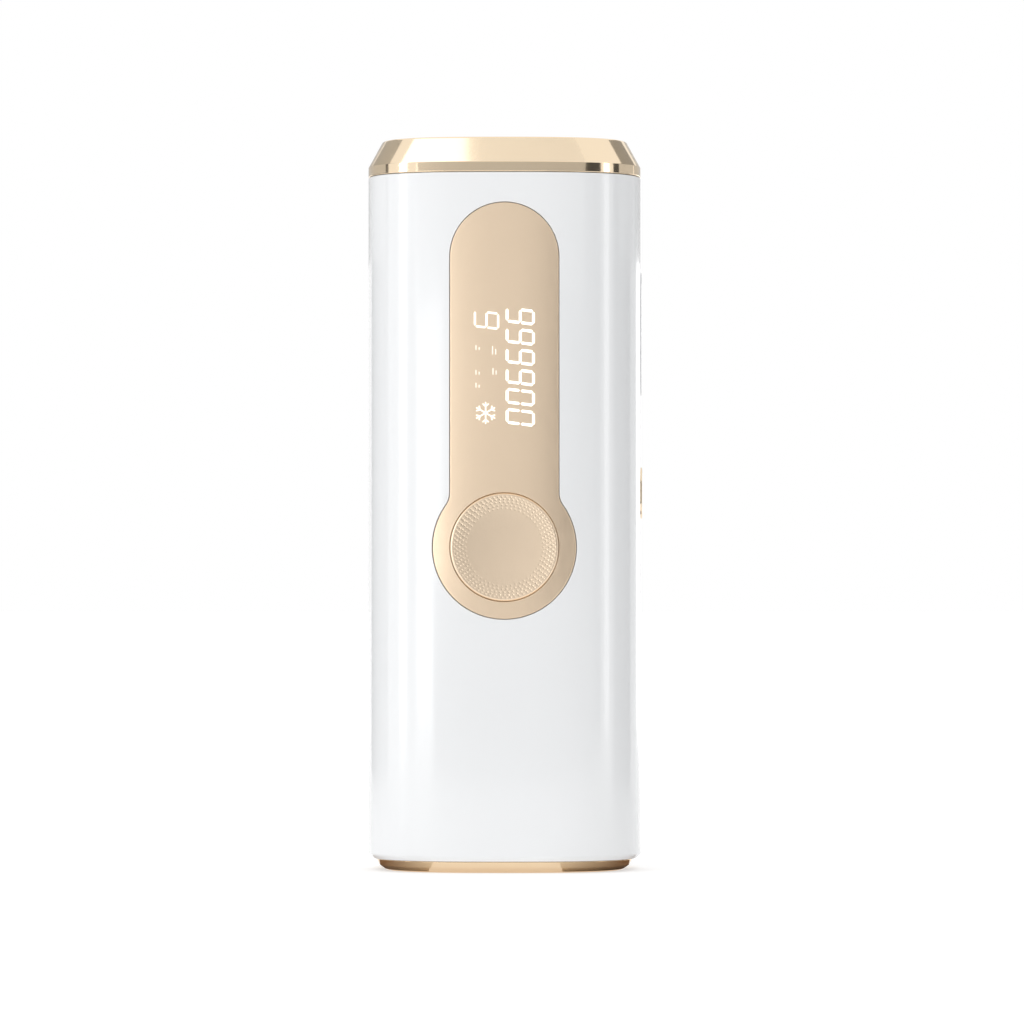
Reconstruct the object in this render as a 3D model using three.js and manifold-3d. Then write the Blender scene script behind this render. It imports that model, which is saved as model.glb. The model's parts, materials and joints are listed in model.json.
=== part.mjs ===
// An IPL hair remover: an upright, corded light-pulse handset with a cooled window on top.
// Millimetres, +Z up, front facing -Y. The origin is the middle of the foot.
import * as THREE from "three";
import { mergeVertices } from "three/addons/utils/BufferGeometryUtils.js";
import Module from "manifold-3d";

const wasm = await Module();
wasm.setup();

// ---- Driving dimensions ----
// The housing's level section is one oval, |x/a|^n + |y/b|^n = 1, and every other level section is
// that oval pulled in by an inset.
const HALF_WIDTH = 31;
const HALF_DEPTH = 20;
const OVAL_POWER = 2.8;
const OVAL_STEPS = 48;
const WALL = 2.2;
const GAP = 0.1;

const BODY_BOTTOM = 2.7;
const BODY_TOP = 157;
const BODY_BEVEL = 0.9;
const SEAM_Y = 7;
const COLLAR_TOP = 159.3;
const BEZEL_TOP = 165.2;
const BEZEL_INSET = 3.2;
const SPIGOT_INSET = 2.4;
const SPIGOT_INNER = 3.6;
const HEAD_OPENING_INSET = 6.4;

// The keyhole panel on the front, and the round button in its lower end.
const PANEL_HALF_WIDTH = 12.2;
const PANEL_TOP = 150.2;
const DIAL_Z = 73;
const DIAL_RADIUS = 16.1;
const PANEL_FILLET = 5;
const PANEL_THICKNESS = 1.2;
const PANEL_LEDGE = 1.5;
const BUTTON_RADIUS = 12.1;
const BUTTON_FACE_Y = -19.75;
const BUTTON_DISH = 0.55;

// Side controls on +X: the flash trigger above, the mode button below.
const SIDE_CONTROLS = [
  { name: "trigger", z: 121.6, length: 28.5, width: 7.4, proud: 0.25, bezel: 0 },
  { name: "mode", z: 85.4, length: 10.2, width: 6.2, proud: 0.35, bezel: 0.8 },
];

const LAMP_Z = 149.6;
const WINDOW = { halfX: 17, halfY: 5.5, bottom: 159.5, top: 165.5 };
const FAN = { z: 117, front: 8.3, depth: 8, half: 15, duct: 13.6, blades: 7 };
const MAIN_BOARD = { halfX: 19, front: -6, thickness: 1.6, bottom: 19, top: 99 };
const DISPLAY_BOARD = { halfX: 14, front: -12.6, thickness: 1.2, bottom: 58, top: 138 };
const SOCKET = { hole: 4.2, bore: 3.2, pin: 1, tip: 5.6, roof: 14 };

// ---- Materials ----
const finish = (color, roughness, metalness, more = {}) =>
  new THREE.MeshStandardMaterial({ color, roughness, metalness, ...more });
const MATERIALS = {
  gloss_white: finish(0xf2f3f4, 0.18, 0),
  gold: finish(0xe6c79b, 0.2, 1),
  satin_gold: finish(0xe3c9a6, 0.38, 0.8),
  black: finish(0x16161a, 0.25, 0),
  matte_white: finish(0xe9e9e6, 0.6, 0),
  dark_plastic: finish(0x2b2c30, 0.6, 0),
  sapphire: finish(0xdfeeff, 0.03, 0, { transparent: true, opacity: 0.35 }),
  filter: finish(0xe8a33c, 0.08, 0, { transparent: true, opacity: 0.5 }),
  quartz: finish(0xf4f8ff, 0.05, 0, { transparent: true, opacity: 0.35 }),
  steel: finish(0xb9bcc0, 0.3, 1),
  copper: finish(0xc77b4e, 0.35, 1),
  aluminium: finish(0xc9ccd0, 0.35, 1),
  silicone: finish(0xd8d4cc, 0.8, 0),
  board: finish(0x1f6b43, 0.5, 0),
  ceramic: finish(0xf0efe9, 0.5, 0),
  capacitor: finish(0x23304f, 0.4, 0),
  ferrite: finish(0x3b3a3d, 0.7, 0),
  wire_red: finish(0xb02a25, 0.5, 0),
  wire_black: finish(0x1c1c1e, 0.5, 0),
};

// ---- Solids ----
function solid(geometry) {
  const bare = geometry.clone();
  bare.deleteAttribute("normal");
  bare.deleteAttribute("uv");
  const merged = mergeVertices(bare, 1e-4);
  const vertProperties = new Float32Array(merged.attributes.position.array);
  const triVerts = new Uint32Array(merged.index.array);
  const made = new wasm.Manifold(new wasm.Mesh({ numProp: 3, vertProperties, triVerts }));
  if (made.volume() > 0) return made;
  triVerts.reverse();
  return new wasm.Manifold(new wasm.Mesh({ numProp: 3, vertProperties, triVerts }));
}

const join = (first, ...others) => others.reduce((whole, part) => whole.add(part), first);
const cut = (first, ...tools) => tools.reduce((whole, tool) => whole.subtract(tool), first);

function geometryOf(manifold) {
  const { vertProperties, triVerts, numProp } = manifold.getMesh();
  const position = new Float32Array((vertProperties.length / numProp) * 3);
  for (let i = 0; i < position.length / 3; i++)
    position.set(vertProperties.subarray(i * numProp, i * numProp + 3), i * 3);
  const geometry = new THREE.BufferGeometry();
  geometry.setAttribute("position", new THREE.BufferAttribute(position, 3));
  geometry.setIndex(new THREE.BufferAttribute(new Uint32Array(triVerts), 1));
  geometry.computeVertexNormals();
  return geometry;
}

// A box from its lowest to its highest corner.
function block([x0, y0, z0], [x1, y1, z1]) {
  const box = new THREE.BoxGeometry(x1 - x0, y1 - y0, z1 - z0);
  return solid(box.translate((x0 + x1) / 2, (y0 + y1) / 2, (z0 + z1) / 2));
}

// A round bar between two points that differ along one axis.
function rod(radius, from, to, sides = 24) {
  const start = new THREE.Vector3(...from);
  const end = new THREE.Vector3(...to);
  const along = end.clone().sub(start);
  const bar = new THREE.CylinderGeometry(radius, radius, along.length(), sides);
  const up = new THREE.Vector3(0, 1, 0);
  bar.applyQuaternion(new THREE.Quaternion().setFromUnitVectors(up, along.clone().normalize()));
  return solid(bar.translate(...start.add(end).multiplyScalar(0.5).toArray()));
}

// A turned piece: profile points are [radius, height along the axis], from axis to axis.
function turned(profile, sides = 32) {
  return new THREE.LatheGeometry(profile.map(([r, h]) => new THREE.Vector2(r, h)), sides);
}

// A shape drawn in X and Z, drawn out along Y from y0 to y1.
function frontPrism(shape, y0, y1, steps = 8) {
  const prism = new THREE.ExtrudeGeometry(shape, {
    depth: y1 - y0,
    bevelEnabled: false,
    curveSegments: steps,
  });
  return solid(prism.rotateX(Math.PI / 2).translate(0, y1, 0));
}

// A shape drawn in Y and Z, drawn out along X from x0 to x1.
function sidePrism(shape, x0, x1, steps = 5) {
  const prism = new THREE.ExtrudeGeometry(shape, {
    depth: x1 - x0,
    bevelEnabled: false,
    curveSegments: steps,
  });
  return solid(prism.rotateY(Math.PI / 2).rotateX(Math.PI / 2).translate(x0, 0, 0));
}

// A shape drawn in X and Y, standing from z0 to z1.
function upPrism(shape, z0, z1, steps = 3) {
  const prism = new THREE.ExtrudeGeometry(shape, {
    depth: z1 - z0,
    bevelEnabled: false,
    curveSegments: steps,
  });
  return solid(prism.translate(0, 0, z0));
}

// A round-ended slot, longest along the shape's second axis.
function slotShape(halfWidth, halfLength, cx = 0, cy = 0) {
  const reach = halfLength - halfWidth;
  const shape = new THREE.Shape();
  shape.absarc(cx, cy + reach, halfWidth, 0, Math.PI, false);
  shape.absarc(cx, cy - reach, halfWidth, Math.PI, 2 * Math.PI, false);
  return shape;
}

function roundedRect(halfX, halfY, radius) {
  const shape = new THREE.Shape();
  const cornerX = halfX - radius;
  const cornerY = halfY - radius;
  shape.absarc(cornerX, cornerY, radius, 0, Math.PI / 2, false);
  shape.absarc(-cornerX, cornerY, radius, Math.PI / 2, Math.PI, false);
  shape.absarc(-cornerX, -cornerY, radius, Math.PI, 1.5 * Math.PI, false);
  shape.absarc(cornerX, -cornerY, radius, 1.5 * Math.PI, 2 * Math.PI, false);
  return shape;
}

// ---- The housing's oval ----
const LATHE_RADIUS = 50;
const AXIS = LATHE_RADIUS;

const ovalCoordinate = (half, unit) =>
  half * Math.sign(unit) * Math.abs(unit) ** (2 / OVAL_POWER);

// Profile points are [inset, z]; an inset of AXIS is the middle. The turned shape's circle is bent
// to the oval, so the same profile runs all the way round.
function ovalTurned(profile, steps = OVAL_STEPS) {
  const lathe = turned(profile.map(([inset, z]) => [LATHE_RADIUS - inset, z]), steps);
  lathe.rotateX(Math.PI / 2);
  const { position } = lathe.attributes;
  for (let i = 0; i < position.count; i++) {
    const x = position.getX(i);
    const y = position.getY(i);
    const radius = Math.hypot(x, y);
    if (radius < 1e-3) {
      position.setXY(i, 0, 0);
      continue;
    }
    const inset = LATHE_RADIUS - radius;
    const bentX = ovalCoordinate(HALF_WIDTH - inset, x / radius);
    const bentY = ovalCoordinate(HALF_DEPTH - inset, y / radius);
    position.setXY(i, Math.abs(bentX) < 1e-3 ? 0 : bentX, Math.abs(bentY) < 1e-3 ? 0 : bentY);
  }
  return solid(lathe);
}

const ovalPlug = (inset, z0, z1) =>
  ovalTurned([[AXIS, z0], [inset, z0], [inset, z1], [AXIS, z1]]);

// The oval's wall between two insets.
const ovalRing = (outer, inner, z0, z1) =>
  ovalTurned([[outer, z0], [outer, z1], [inner, z1], [inner, z0], [outer, z0]]);

// ---- The keyhole outline, grown by a margin ----
function keyhole(margin) {
  const half = PANEL_HALF_WIDTH + margin;
  const dial = DIAL_RADIUS + margin;
  const fillet = PANEL_FILLET - margin;
  const topCentre = PANEL_TOP - PANEL_HALF_WIDTH;
  // The fillet's circle touches the straight side and the dial's circle from outside.
  const filletX = half + fillet;
  const filletZ = DIAL_Z + Math.sqrt((dial + fillet) ** 2 - filletX ** 2);
  const lean = Math.atan2(filletZ - DIAL_Z, filletX);
  const shape = new THREE.Shape();
  shape.absarc(0, topCentre, half, 0, Math.PI, false);
  shape.absarc(-filletX, filletZ, fillet, 0, -lean, true);
  shape.absarc(0, DIAL_Z, dial, Math.PI - lean, 2 * Math.PI + lean, false);
  shape.absarc(filletX, filletZ, fillet, Math.PI + lean, Math.PI, true);
  return shape;
}

// ---- The assembly ----
const product = new THREE.Group();
product.name = "ipl_hair_remover";

function addPart(name, material, shape) {
  const mesh = new THREE.Mesh(geometryOf(shape), MATERIALS[material]);
  mesh.name = name;
  product.add(mesh);
}

const FRONT = -60;
const BACK = 60;
const behindSeam = (y) => block([-60, y, -5], [60, BACK, 200]);

function sideOutline({ z, length, width }, margin) {
  return slotShape(width / 2 + margin, length / 2 + margin, 0, z);
}

// A hollow boss for a screw that runs along Y, standing from y0 to y1.
const bossAlongY = (x, z, radius, y0, y1) => rod(radius, [x, y0, z], [x, y1, z], 12);

const MAIN_BOSSES = [
  [-16.4, 26],
  [16.4, 26],
  [-16.4, 94],
  [16.4, 94],
].map(([x, z]) => ({ x, z, radius: 2.2, wallY: -17, hole: 1.2, boardY: MAIN_BOARD.front }));
const DISPLAY_BOSSES = [
  [-12.5, 94],
  [12.5, 134],
].map(([x, z]) => ({ x, z, radius: 1.5, wallY: -17.6, hole: 0.9, boardY: DISPLAY_BOARD.front }));
const BASE_BOSSES = [-1, 1].map((side) => ({ x: side * 19, y: -7, radius: 2.5 }));

function housingShell() {
  return ovalTurned([
    [BODY_BEVEL, BODY_BOTTOM],
    [0, BODY_BOTTOM + BODY_BEVEL],
    [0, BODY_TOP],
    [WALL, BODY_TOP],
    [WALL, BODY_BOTTOM],
    [BODY_BEVEL, BODY_BOTTOM],
  ]);
}

function frontShell() {
  let shell = cut(housingShell(), behindSeam(SEAM_Y));
  const pocket = cut(
    frontPrism(keyhole(GAP), FRONT, -5),
    ovalPlug(PANEL_THICKNESS + GAP, 0, 170),
  );
  const through = frontPrism(keyhole(-PANEL_LEDGE), FRONT, -5);
  shell = cut(shell, pocket, through);
  for (const control of SIDE_CONTROLS)
    shell = cut(shell, sidePrism(sideOutline(control, control.bezel + GAP), 20, 60));
  for (const { x, z, radius, wallY, hole, boardY } of [...MAIN_BOSSES, ...DISPLAY_BOSSES]) {
    const boss = bossAlongY(x, z, radius, wallY, boardY - GAP);
    shell = cut(join(shell, boss), bossAlongY(x, z, hole, boardY - 5, boardY + 1));
  }
  const wallInside = ovalPlug(0.5, 0, 170);
  for (const { x, y, radius } of BASE_BOSSES) {
    const post = rod(radius, [x, y, 4.2], [x, y, 18], 16);
    const rib = block([x - 1, -HALF_DEPTH, 8.4], [x + 1, y, 17]).intersect(wallInside);
    shell = cut(join(shell, post, rib), rod(1.3, [x, y, 3], [x, y, 14], 12));
  }
  return shell;
}

// Slots for the fan's air, centred on the fan and ending on a circle.
const VENT = { count: 9, pitch: 3.1, halfHeight: 0.75, circle: 14.6, margin: 0.6 };
function rearVents() {
  return Array.from({ length: VENT.count }, (_, i) => {
    const rise = (i - (VENT.count - 1) / 2) * VENT.pitch;
    const reach = Math.sqrt(VENT.circle ** 2 - rise ** 2) - VENT.margin;
    const slot = new THREE.Shape();
    const end = reach - VENT.halfHeight;
    slot.absarc(end, FAN.z + rise, VENT.halfHeight, -Math.PI / 2, Math.PI / 2, false);
    slot.absarc(-end, FAN.z + rise, VENT.halfHeight, Math.PI / 2, 1.5 * Math.PI, false);
    return frontPrism(slot, 12, BACK, 4);
  });
}

function rearShell() {
  const shell = cut(housingShell(), block([-60, FRONT, -5], [60, SEAM_Y + GAP, 200]));
  // A thin lip along both seams locates this shell inside the front one.
  const lipRing = ovalRing(WALL + 0.15, WALL + 1.2, 12, 150);
  const lip = lipRing.intersect(block([-60, SEAM_Y - 1.8, 0], [60, SEAM_Y + 4, 200]));
  const foot = ovalRing(1, WALL + 1.2, 12, 150).intersect(
    block([-60, SEAM_Y + 1.2, 0], [60, SEAM_Y + 4, 200]),
  );
  return cut(join(shell, foot, lip), ...rearVents());
}

function headBezel() {
  return ovalTurned([
    [0, BODY_TOP + GAP],
    [0, COLLAR_TOP],
    [BEZEL_INSET, BEZEL_TOP - 0.3],
    [BEZEL_INSET + 0.4, BEZEL_TOP],
    [HEAD_OPENING_INSET, BEZEL_TOP],
    [HEAD_OPENING_INSET, 163.2],
    [4.6, 163.2],
    [SPIGOT_INNER, 161],
    [SPIGOT_INNER, 152],
    [SPIGOT_INSET, 152],
    [SPIGOT_INSET, BODY_TOP + GAP],
    [0, BODY_TOP + GAP],
  ]);
}

function baseRing() {
  return ovalTurned([
    [1.8, BODY_BOTTOM - GAP],
    [2.5, 1.1],
    [4.1, 0],
    [6.1, 0],
    [6.1, 2.2],
    [SPIGOT_INNER, 2.2],
    [SPIGOT_INNER, 8],
    [SPIGOT_INSET, 8],
    [SPIGOT_INSET, BODY_BOTTOM - GAP],
    [1.8, BODY_BOTTOM - GAP],
  ]);
}

function baseCover() {
  const plate = ovalTurned([
    [AXIS, 0.4],
    [6.3, 0.4],
    [6.3, 2.3],
    [4, 2.3],
    [4, 4.1],
    [AXIS, 4.1],
  ]);
  const tools = [rod(SOCKET.hole, [0, 0, -1], [0, 0, 5], 24)];
  for (const { x, y } of BASE_BOSSES) {
    tools.push(rod(1.3, [x, y, 0], [x, y, 5], 12));
    tools.push(rod(2.7, [x, y, 0], [x, y, 2.1], 16));
  }
  for (const side of [-1, 1])
    for (let i = 0; i < 4; i++)
      tools.push(upPrism(slotShape(0.8, 5.5, side * (9 + 3.2 * i), 3.2), 0, 5, 3));
  return cut(plate, ...tools);
}

function addHousing() {
  addPart("front_shell", "gloss_white", frontShell());
  addPart("rear_shell", "gloss_white", rearShell());
  addPart("head_bezel", "gold", headBezel());
  addPart("base_ring", "gold", baseRing());
  addPart("base_cover", "matte_white", baseCover());
  BASE_BOSSES.forEach(({ x, y }, i) => {
    const head = rod(2.4, [x, y, 0.7], [x, y, 2.1], 16);
    const shank = rod(1.1, [x, y, 2], [x, y, 13], 12);
    const drive = [
      block([x - 1.3, y - 0.3, 0], [x + 1.3, y + 0.3, 1.4]),
      block([x - 0.3, y - 1.3, 0], [x + 0.3, y + 1.3, 1.4]),
    ];
    addPart(`base_screw_${i + 1}`, "steel", cut(join(head, shank), ...drive));
  });
}

// ---- Front panel, button and display ----
function displayPanel() {
  const skin = frontPrism(keyhole(-0.05), FRONT, -5).intersect(ovalRing(0, PANEL_THICKNESS, 40, 160));
  return cut(skin, rod(BUTTON_RADIUS + 0.15, [0, FRONT, DIAL_Z], [0, -5, DIAL_Z], 36));
}

// Profile heights run back from the button's rim plane, and the face is dished in.
function powerButton() {
  const radius = BUTTON_RADIUS;
  const face = [];
  for (let i = 0; i <= 3; i++) {
    const r = (i / 3) * (radius - 0.5);
    face.push([r, BUTTON_DISH * (1 - (r / (radius - 0.5)) ** 2)]);
  }
  const profile = [
    ...face,
    [radius, 0.35],
    [radius, 2.3],
    [radius + 1, 2.3],
    [radius + 1, 3.2],
    [radius - 1.4, 3.2],
    [radius - 1.4, 2],
    [1.6, 2],
    [1.6, 3.3],
    [0, 3.3],
  ];
  const piece = turned(profile, 36);
  return solid(piece.translate(0, BUTTON_FACE_Y, 0).translate(0, 0, DIAL_Z));
}

function displayDiffuser() {
  const bar = block([-9, -18.2, 96], [9, DISPLAY_BOARD.front - GAP, 130]);
  // One light well behind each character and symbol.
  const wells = Array.from({ length: 6 }, (_, i) =>
    block([0.3, -30, 100.2 + 4.6 * i], [6.9, -13.6, 103.8 + 4.6 * i]),
  );
  const symbols = [
    block([-7, -30, 100.4], [-1.2, -13.6, 105.8]),
    block([-7, -30, 109], [-1.2, -13.6, 118]),
    block([-7, -30, 121.2], [-1.2, -13.6, 126.8]),
  ];
  return cut(bar, ...wells, ...symbols);
}

// A tact switch along an axis: its body has a well that its plunger sinks into.
function frontSwitch() {
  const y1 = DISPLAY_BOARD.front - GAP;
  const body = block([-3, y1 - 2.6, DIAL_Z - 3], [3, y1, DIAL_Z + 3]);
  return cut(body, rod(1.4, [0, y1 - 4, DIAL_Z], [0, y1 - 0.8, DIAL_Z], 16));
}

function frontPlunger() {
  const buttonBack = BUTTON_FACE_Y + 3.3;
  return rod(1.2, [0, buttonBack + 0.02, DIAL_Z], [0, DISPLAY_BOARD.front - 1.8, DIAL_Z], 16);
}

function boardPlate({ halfX, front, thickness, bottom, top }, bosses) {
  const plate = block([-halfX, front, bottom], [halfX, front + thickness, top]);
  return cut(plate, ...bosses.map(({ x, z, hole }) => bossAlongY(x, z, hole, -30, 10)));
}

function boardScrew({ x, z, hole, boardY }, thickness) {
  const back = boardY + thickness;
  const head = bossAlongY(x, z, hole + 0.8, back + 0.02, back + 1.3);
  return join(head, bossAlongY(x, z, hole - 0.2, boardY - 4, back + 0.5));
}

function addFront() {
  addPart("display_panel", "satin_gold", displayPanel());
  addPart("power_button", "satin_gold", powerButton());
  addPart("display_diffuser", "ceramic", displayDiffuser());
  addPart("power_switch", "dark_plastic", frontSwitch());
  addPart("power_switch_plunger", "black", frontPlunger());
  addPart("display_board", "board", boardPlate(DISPLAY_BOARD, DISPLAY_BOSSES));
  DISPLAY_BOSSES.forEach((boss, i) =>
    addPart(`display_screw_${i + 1}`, "steel", boardScrew(boss, DISPLAY_BOARD.thickness)),
  );
}

// ---- Side controls ----
const SIDE_BOARD = { inner: 20.4, outer: 21.6, halfY: 5, bottom: 76, top: 138 };
const SWITCH_FACE = 24;
const SWITCH_WELL = 22;
const BUTTON_SEAT = 27.4;

// A cap that follows the housing, with a flange behind the wall and a stem to its switch.
function sideButton(control) {
  const outline = sideOutline(control, -0.1);
  const cap = sidePrism(outline, BUTTON_SEAT, 60).intersect(ovalPlug(-control.proud, 40, 150));
  const flange = sidePrism(sideOutline(control, 0.9), BUTTON_SEAT - 1, BUTTON_SEAT + 0.1);
  const stem = rod(1.4, [25.4, 0, control.z], [BUTTON_SEAT, 0, control.z], 16);
  return join(cap, flange, stem);
}

function sideSwitch({ z }) {
  const body = block([SIDE_BOARD.outer + 0.05, -2.3, z - 2.3], [SWITCH_FACE, 2.3, z + 2.3]);
  return cut(body, rod(1.1, [SWITCH_WELL, 0, z], [30, 0, z], 16));
}

const sidePlunger = ({ z }) => rod(0.9, [SWITCH_FACE - 1, 0, z], [25.38, 0, z], 16);

function modeBezel(control) {
  const outer = sidePrism(sideOutline(control, control.bezel), 28.95, 60);
  const inner = sidePrism(sideOutline(control, 0.05), 20, 61);
  return cut(outer, inner).intersect(ovalPlug(-control.proud, 40, 150));
}

function addSideControls() {
  for (const control of SIDE_CONTROLS) {
    addPart(`${control.name}_button`, "gloss_white", sideButton(control));
    addPart(`${control.name}_switch`, "dark_plastic", sideSwitch(control));
    addPart(`${control.name}_switch_plunger`, "black", sidePlunger(control));
    if (control.bezel) addPart(`${control.name}_button_trim`, "gold", modeBezel(control));
  }
  const { inner, outer, halfY, bottom, top } = SIDE_BOARD;
  addPart("side_board", "board", block([inner, -halfY, bottom], [outer, halfY, top]));
}

// ---- Treatment head ----
const HOUSE = { halfX: 24, halfY: 8.8, bottom: 141, top: 158.2 };
const HEAD_SCREWS = [
  [-22.6, 6.4],
  [22.6, -6.4],
];

function headPlate() {
  const plate = ovalTurned([
    [AXIS, 162.7],
    [HEAD_OPENING_INSET + 0.15, 162.7],
    [HEAD_OPENING_INSET + 0.15, 164.6],
    [AXIS, 164.6],
  ]);
  const bosses = HEAD_SCREWS.map(([x, y]) => rod(1.9, [x, y, HOUSE.top + 0.1], [x, y, 163], 16));
  const holes = HEAD_SCREWS.map(([x, y]) => rod(0.95, [x, y, 150], [x, y, 163.4], 16));
  const opening = upPrism(roundedRect(WINDOW.halfX + 2, WINDOW.halfY + 2, 3), 160, 170);
  return cut(join(plate, ...bosses), opening, ...holes);
}

function contactRing() {
  const { halfX, halfY } = WINDOW;
  const ring = upPrism(roundedRect(halfX + 1.9, halfY + 1.9, 2.9), 162.8, 165.3);
  return cut(ring, upPrism(roundedRect(halfX + 0.2, halfY + 0.2, 1.4), 160, 170));
}

// A frame round the window, and a leg down the front of the lamp house to the cooler.
const LEG_Y = [-10.8, -9.4];
function coldPlate() {
  const { halfX, halfY } = WINDOW;
  const frame = block([-20, LEG_Y[0], 158.4], [20, 8.4, 162.6]);
  const leg = block([-10.4, LEG_Y[0], 106], [10.4, LEG_Y[1], 159]);
  return cut(join(frame, leg), upPrism(roundedRect(halfX + 0.1, halfY + 0.1, 1.3), 150, 170));
}

function windowBlock() {
  const { halfX, halfY, bottom, top } = WINDOW;
  return upPrism(roundedRect(halfX, halfY, 1.2), bottom, top);
}

function lampHouse() {
  const { halfX, halfY, bottom, top } = HOUSE;
  const shell = block([-halfX, -halfY, bottom], [halfX, halfY, top]);
  return cut(
    shell,
    block([-21.4, -7.3, 143], [21.4, 7.3, 170]),
    block([-19.4, -7.6, 156.1], [19.4, 7.6, 170]),
    rod(2.5, [-30, 0, LAMP_Z], [30, 0, LAMP_Z], 20),
    ...HEAD_SCREWS.map(([x, y]) => rod(0.95, [x, y, 130], [x, y, 170], 16)),
  );
}

// A polished trough that opens upward.
function reflector() {
  const outer = new THREE.Shape();
  outer.moveTo(-7.1, 143.2);
  outer.lineTo(7.1, 143.2);
  outer.lineTo(7.1, 155.9);
  outer.lineTo(6.2, 155.9);
  outer.absarc(0, LAMP_Z, 6.2, 0, Math.PI, true);
  outer.lineTo(-6.2, 155.9);
  outer.lineTo(-7.1, 155.9);
  return sidePrism(outer, -18.9, 18.9, 8);
}

function lampHolder(side) {
  const holder = block([19, -7.1, 143.2], [21.2, 7.1, 155.9]);
  const made = cut(holder, rod(2.75, [10, 0, LAMP_Z], [30, 0, LAMP_Z], 20));
  return side > 0 ? made : made.mirror([1, 0, 0]);
}

const SIDES = [
  ["left", -1],
  ["right", 1],
];

function addHead() {
  addPart("head_plate", "black", headPlate());
  addPart("contact_ring", "steel", contactRing());
  addPart("sapphire_window", "sapphire", windowBlock());
  addPart("cold_plate", "copper", coldPlate());
  addPart("filter_glass", "filter", block([-19.2, -7.4, 156.2], [19.2, 7.4, 158.2]));
  addPart("lamp_house", "ceramic", lampHouse());
  addPart("lamp_reflector", "aluminium", reflector());
  addPart("flash_lamp", "quartz", rod(2.6, [-20.6, 0, LAMP_Z], [20.6, 0, LAMP_Z], 20));
  for (const [name, side] of SIDES) {
    const [near, far] = [side * 20.65, side * 25.6];
    addPart(`lamp_cap_${name}`, "steel", rod(2.2, [near, 0, LAMP_Z], [far, 0, LAMP_Z], 20));
    addPart(`lamp_holder_${name}`, "silicone", lampHolder(side));
  }
  HEAD_SCREWS.forEach(([x, y], i) => {
    const head = rod(1.6, [x, y, 139.6], [x, y, 140.9], 16);
    const shank = rod(0.8, [x, y, 140.8], [x, y, 163], 16);
    addPart(`head_screw_${i + 1}`, "steel", join(head, shank));
  });
}

// ---- Cooling ----
function heatSink() {
  const base = block([-14, -5.9, 104], [14, -3.4, 134]);
  const fins = Array.from({ length: 10 }, (_, i) => {
    const x = -13.5 + 3 * i;
    return block([x - 0.5, -3.5, 104], [x + 0.5, FAN.front - 0.2, 134]);
  });
  return join(base, ...fins);
}

function fanFrame() {
  const { z, front, depth, half, duct } = FAN;
  const back = front + depth;
  const alongY = (radius, y0, y1, sides) => rod(radius, [0, y0, z], [0, y1, z], sides);
  const square = block([-half, front, z - half], [half, back, z + half]);
  const hub = alongY(5.5, front, front + 1.2, 24);
  const sleeve = alongY(2.2, front, back - 1.6, 20);
  const arms = [0, 1, 2, 3].map((i) => {
    const arm = new THREE.BoxGeometry(10.4, 1.2, 1.6).translate(9.2, 0, 0);
    arm.rotateY((i * Math.PI) / 2 + Math.PI / 4).translate(0, front + 0.6, z);
    return solid(arm);
  });
  const frame = cut(square, alongY(duct, front - 1, back + 1, 40));
  return cut(join(frame, hub, sleeve, ...arms), alongY(1.5, front + 1, back, 20));
}

function fanRotor() {
  const { z, front, depth, duct, blades } = FAN;
  const back = front + depth;
  const profile = [
    [0, back - 1.4],
    [3, back - 1.4],
    [3, front + 1.6],
    [5.6, front + 1.6],
    [5.6, back - 0.6],
    [0, back - 0.6],
  ];
  const cup = solid(turned(profile, 28).translate(0, 0, z));
  const vanes = Array.from({ length: blades }, (_, i) => {
    const vane = new THREE.BoxGeometry(duct - 5.9, 0.7, 6.4);
    vane.rotateX(Math.PI / 4.6).translate((duct + 5) / 2, 0, 0);
    vane.rotateY((i * 2 * Math.PI) / blades).translate(0, front + depth / 2 + 0.4, z);
    return solid(vane);
  });
  return join(cup, ...vanes);
}

function addCooling() {
  const { z, front, depth } = FAN;
  const back = front + depth;
  addPart("peltier_module", "ceramic", block([-10, -9.3, 108], [10, -6, 130]));
  addPart("heat_sink", "aluminium", heatSink());
  addPart("fan_frame", "dark_plastic", fanFrame());
  addPart("fan_rotor", "dark_plastic", fanRotor());
  const bush = cut(
    rod(1.45, [0, front + 1.1, z], [0, back - 1.7, z], 20),
    rod(0.8, [0, front, z], [0, back, z], 20),
  );
  addPart("fan_bush", "copper", bush);
  addPart("fan_shaft", "steel", rod(0.75, [0, front + 1.4, z], [0, back - 1.42, z], 20));
}

// ---- Power electronics and wiring ----
// A foil capacitor can, standing along Z, with the pressed groove near its foot.
function capacitorCan(x, y, radius, bottom, height) {
  const profile = [
    [0, 0],
    [radius - 0.4, 0],
    [radius, 0.4],
    [radius, 3],
    [radius - 0.6, 3.6],
    [radius, 4.2],
    [radius, height - 0.4],
    [radius - 0.4, height],
    [0, height],
  ];
  return solid(turned(profile, 24).rotateX(Math.PI / 2).translate(x, y, bottom));
}

function transformer(x, z) {
  const y0 = MAIN_BOARD.front + MAIN_BOARD.thickness + GAP;
  const core = block([x - 8, y0 + 1, z - 9], [x + 8, y0 + 14, z + 9]);
  const gaps = [-1, 1].map((side) =>
    block([x - 9, y0 + 3, z + side * 5.4 - 1.6], [x + 9, y0 + 15, z + side * 5.4 + 1.6]),
  );
  const feet = block([x - 7, y0, z - 8], [x + 7, y0 + 1.2, z + 8]);
  return join(cut(core, ...gaps), feet);
}

function wire(points, radius) {
  const path = new THREE.CatmullRomCurve3(points.map((p) => new THREE.Vector3(...p)));
  const section = new THREE.Shape().absarc(0, 0, radius, 0, 2 * Math.PI, false);
  const steps = Math.round(path.getLength() / (radius * 4));
  const tube = { extrudePath: path, steps, curveSegments: 4, bevelEnabled: false };
  return solid(new THREE.ExtrudeGeometry(section, tube));
}

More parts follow.
